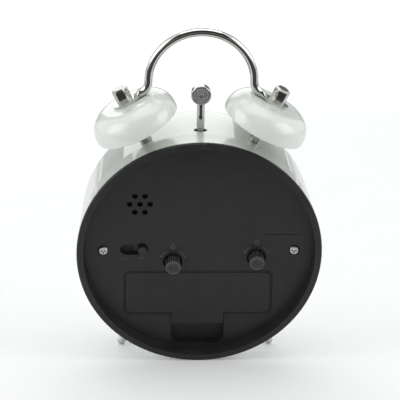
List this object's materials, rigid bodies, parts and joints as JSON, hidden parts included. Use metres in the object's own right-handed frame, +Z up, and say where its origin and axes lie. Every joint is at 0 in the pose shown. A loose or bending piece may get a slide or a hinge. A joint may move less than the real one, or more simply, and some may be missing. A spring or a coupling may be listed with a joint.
{
  "type": "twin bell alarm clock",
  "caption": "Round twin-bell alarm clock with a carrying handle, a hammer between the bells, a dished black back with setting knobs, an alarm switch and a battery door, and short feet.",
  "frame": {"origin": "middle of the outline at floor level, under the clock", "axes": "+Z up; the dial faces -Y, so the pictured back faces +Y; +X is the clock's right side as seen from its front"},
  "size_m": [0.115, 0.0738, 0.1641],
  "materials": {
    "cover_black": "satin black moulding",
    "door_black": "satin black moulding",
    "button_black": "satin black moulding",
    "knob_black": "satin black, fluted",
    "shell_white": "gloss enamel",
    "bell_white": "gloss enamel",
    "bezel_chrome": "bright plating",
    "lens_clear": "clear, polished",
    "dial_face": "printed matt face",
    "inner_plastic": "plain moulding",
    "movement_plastic": "plain moulding",
    "white_plastic": "plain moulding",
    "screw_steel": "bright zinc",
    "contact_steel": "bright nickel",
    "motor_steel": "drawn can",
    "cell_wrap": "plain wrapped can",
    "board_green": "lacquered board",
    "sounder_black": "plain moulding",
    "magnet_dark": "dark magnet",
    "alarm_hand_paint": "painted sheet",
    "hand_paint": "painted sheet",
    "second_hand_paint": "painted sheet",
    "coil_copper": "lacquered wire",
    "chrome": "bright plating",
    "handle_chrome": "bright plating",
    "hammer_chrome": "turned, plated",
    "foot_chrome": "bright plating"
  },
  "bodies": {
    "case": {"rear_cover": "cover_black", "case_shell": "shell_white", "bezel_ring": "bezel_chrome", "lens": "lens_clear", "dial_spacer": "white_plastic", "dial": "dial_face", "dial_frame": "inner_plastic", "cover_screws": "screw_steel", "battery_tray": "inner_plastic", "aa_cell": "cell_wrap", "positive_contact": "contact_steel", "negative_contact": "contact_steel", "switch_body": "inner_plastic", "circuit_board": "board_green", "sounder": "sounder_black", "movement_base": "movement_plastic", "movement_bridge": "movement_plastic", "movement_cover": "movement_plastic", "movement_screws": "screw_steel", "stator": "contact_steel", "coil": "coil_copper", "movement_board": "board_green", "quartz_crystal": "contact_steel", "left_bell": "bell_white", "right_bell": "bell_white", "bell_posts": "chrome", "cap_nuts": "chrome", "post_nuts": "screw_steel", "handle": "handle_chrome", "hammer_pin": "contact_steel", "motor_mount": "inner_plastic", "bell_motor": "motor_steel", "left_foot": "foot_chrome", "right_foot": "foot_chrome", "foot_nuts": "screw_steel"},
    "rotor": {"rotor": "magnet_dark"},
    "first_wheel": {"first_wheel": "white_plastic"},
    "seconds": {"seconds_wheel": "white_plastic", "second_hand": "second_hand_paint"},
    "third_wheel": {"third_wheel": "white_plastic"},
    "centre_wheel": {"centre_wheel": "white_plastic"},
    "minutes": {"minute_tube": "white_plastic", "minute_hand": "hand_paint"},
    "motion_wheel": {"motion_wheel": "white_plastic"},
    "hours": {"hour_wheel": "white_plastic", "hour_hand": "hand_paint"},
    "time_setting": {"time_knob": "knob_black", "time_setter": "white_plastic"},
    "alarm": {"alarm_wheel": "white_plastic", "alarm_hand": "alarm_hand_paint"},
    "alarm_setting": {"alarm_knob": "knob_black", "alarm_setter": "white_plastic"},
    "switch": {"switch_slider": "button_black"},
    "hammer": {"hammer_lever": "contact_steel", "hammer_rod": "hammer_chrome", "hammer_head": "hammer_chrome"},
    "crank": {"motor_crank": "white_plastic"},
    "door": {"battery_door": "door_black"}
  },
  "joints": [
    {"name": "rotor_spin", "type": "hinge", "parent": "case", "child": "rotor", "pos_m": [-0.01351, -0.00136, 0.06876], "axis": [0, 0.977, -0.2131], "continuous": true},
    {"name": "first_wheel_spin", "type": "hinge", "parent": "case", "child": "first_wheel", "pos_m": [-0.00728, -0.00213, 0.06524], "axis": [0, 0.977, -0.2131], "continuous": true},
    {"name": "seconds_spin", "type": "hinge", "parent": "case", "child": "seconds", "pos_m": [0, -0.00889, 0.06242], "axis": [0, 0.977, -0.2131], "continuous": true},
    {"name": "third_wheel_spin", "type": "hinge", "parent": "case", "child": "third_wheel", "pos_m": [0.00432, -0.00339, 0.06888], "axis": [0, 0.977, -0.2131], "continuous": true},
    {"name": "centre_wheel_spin", "type": "hinge", "parent": "case", "child": "centre_wheel", "pos_m": [0, -0.00694, 0.06199], "axis": [0, 0.977, -0.2131], "continuous": true},
    {"name": "minute_spin", "type": "hinge", "parent": "case", "child": "minutes", "pos_m": [0, -0.01475, 0.0637], "axis": [0, 0.977, -0.2131], "continuous": true},
    {"name": "motion_wheel_spin", "type": "hinge", "parent": "case", "child": "motion_wheel", "pos_m": [-0.01168, -0.01032, 0.06054], "axis": [0, 0.977, -0.2131], "continuous": true},
    {"name": "hour_spin", "type": "hinge", "parent": "case", "child": "hours", "pos_m": [0, -0.01475, 0.0637], "axis": [0, 0.977, -0.2131], "continuous": true},
    {"name": "time_knob_turn", "type": "hinge", "parent": "case", "child": "time_setting", "pos_m": [-0.02725, 0.00958, 0.05327], "axis": [0, 0.977, -0.2131], "continuous": true},
    {"name": "alarm_spin", "type": "hinge", "parent": "case", "child": "alarm", "pos_m": [0, -0.01475, 0.0637], "axis": [0, 0.977, -0.2131], "continuous": true},
    {"name": "alarm_knob_turn", "type": "hinge", "parent": "case", "child": "alarm_setting", "pos_m": [0.0122, 0.00912, 0.05112], "axis": [0, 0.977, -0.2131], "continuous": true},
    {"name": "switch_slide", "type": "slide", "parent": "case", "child": "switch", "axis": [1, 0, 0], "range_m": [0, 0.0079]},
    {"name": "hammer_swing", "type": "hinge", "parent": "case", "child": "hammer", "pos_m": [0, 0.01524, 0.11202], "axis": [0, 0.977, -0.2131], "range_deg": [-22, 22]},
    {"name": "crank_spin", "type": "hinge", "parent": "case", "child": "crank", "pos_m": [0, 0.00973, 0.10554], "axis": [0, 0.977, -0.2131], "continuous": true},
    {"name": "door_open", "type": "hinge", "parent": "case", "child": "door", "pos_m": [0, 0.01111, 0.0448], "axis": [1, 0, 0], "range_deg": [0, 80]}
  ],
  "couplings": [
    {"joint": "first_wheel_spin", "follows": "rotor_spin", "ratio": -0.2},
    {"joint": "seconds_spin", "follows": "rotor_spin", "ratio": 0.033333},
    {"joint": "third_wheel_spin", "follows": "rotor_spin", "ratio": -0.0044444},
    {"joint": "centre_wheel_spin", "follows": "rotor_spin", "ratio": 0.00055556},
    {"joint": "motion_wheel_spin", "follows": "minute_spin", "ratio": -0.33333},
    {"joint": "hour_spin", "follows": "minute_spin", "ratio": 0.083333},
    {"joint": "time_knob_turn", "follows": "minute_spin", "ratio": 0.42857},
    {"joint": "alarm_knob_turn", "follows": "alarm_spin", "ratio": -1.8}
  ]
}
